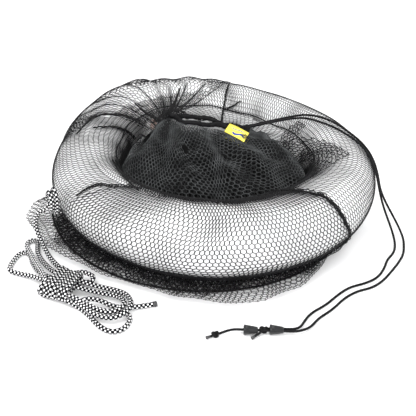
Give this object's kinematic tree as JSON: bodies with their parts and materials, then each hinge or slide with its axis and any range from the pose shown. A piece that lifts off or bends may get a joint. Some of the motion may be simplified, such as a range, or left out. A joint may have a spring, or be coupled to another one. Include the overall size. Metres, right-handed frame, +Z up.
{
  "type": "floating catch bag",
  "caption": "Inflated ring in a netting sleeve with a drawstring mouth and a deep netting bag packed flat beneath it, on a tether rope.",
  "frame": {"origin": "on the ground under the middle of the inflated ring, on the underside of the bag's floor", "axes": "+Z up out of the mouth, +X towards the side where the drawstring leaves, -Y towards the drawstring's end"},
  "size_m": [0.5005, 0.5201, 0.1181],
  "materials": {
    "black_net": "matte",
    "black_tape": "matte",
    "white_pvc": "glossy",
    "clear_pvc": "glossy",
    "yellow_label": "satin",
    "black_cord": "matte",
    "black_plastic": "satin",
    "checked_rope": "matte",
    "melted_rope": "satin"
  },
  "bodies": {
    "bag_base": {"base_panel": "black_net", "base_hem": "black_tape", "bag_wall": "black_net", "tail_a_lower": "black_cord", "tail_b_lower": "black_cord", "knot_mid": "black_cord", "end_knot": "black_cord", "tail_a_tip": "black_cord", "tail_b_tip": "black_cord", "tether_hank": "checked_rope", "tether_tail": "checked_rope", "tether_tip": "melted_rope"},
    "ring": {"float_tube": "white_pvc", "valve_base": "clear_pvc", "sleeve_net": "black_net", "lower_seam": "black_tape", "inner_seam": "black_tape", "cross_seam": "black_tape", "neck_net": "black_net", "mouth_hem": "black_tape", "label": "yellow_label", "drawstring_loop": "black_cord", "tail_a_upper": "black_cord", "tail_b_upper": "black_cord", "tether_knot": "checked_rope", "tether_rope": "checked_rope"},
    "bell_inner": {"bell_inner": "black_plastic"},
    "bell_outer": {"bell_outer": "black_plastic"},
    "valve_plug": {"valve_plug": "clear_pvc"}
  },
  "joints": [
    {"name": "bag_extend", "type": "slide", "parent": "bag_base", "child": "ring", "axis": [0, 0, 1], "range_m": [0, 0.42], "deforming": ["bag_wall"]},
    {"name": "inner_stopper_slide", "type": "slide", "parent": "bag_base", "child": "bell_inner", "axis": [1, 0, 0], "range_m": [0, 0.006]},
    {"name": "outer_stopper_slide", "type": "slide", "parent": "bag_base", "child": "bell_outer", "axis": [-1, 0, 0], "range_m": [0, 0.008]},
    {"name": "valve_plug_slide", "type": "slide", "parent": "ring", "child": "valve_plug", "axis": [0.6497, -0.7474, 0.1392], "range_m": [0, 0.009]}
  ]
}
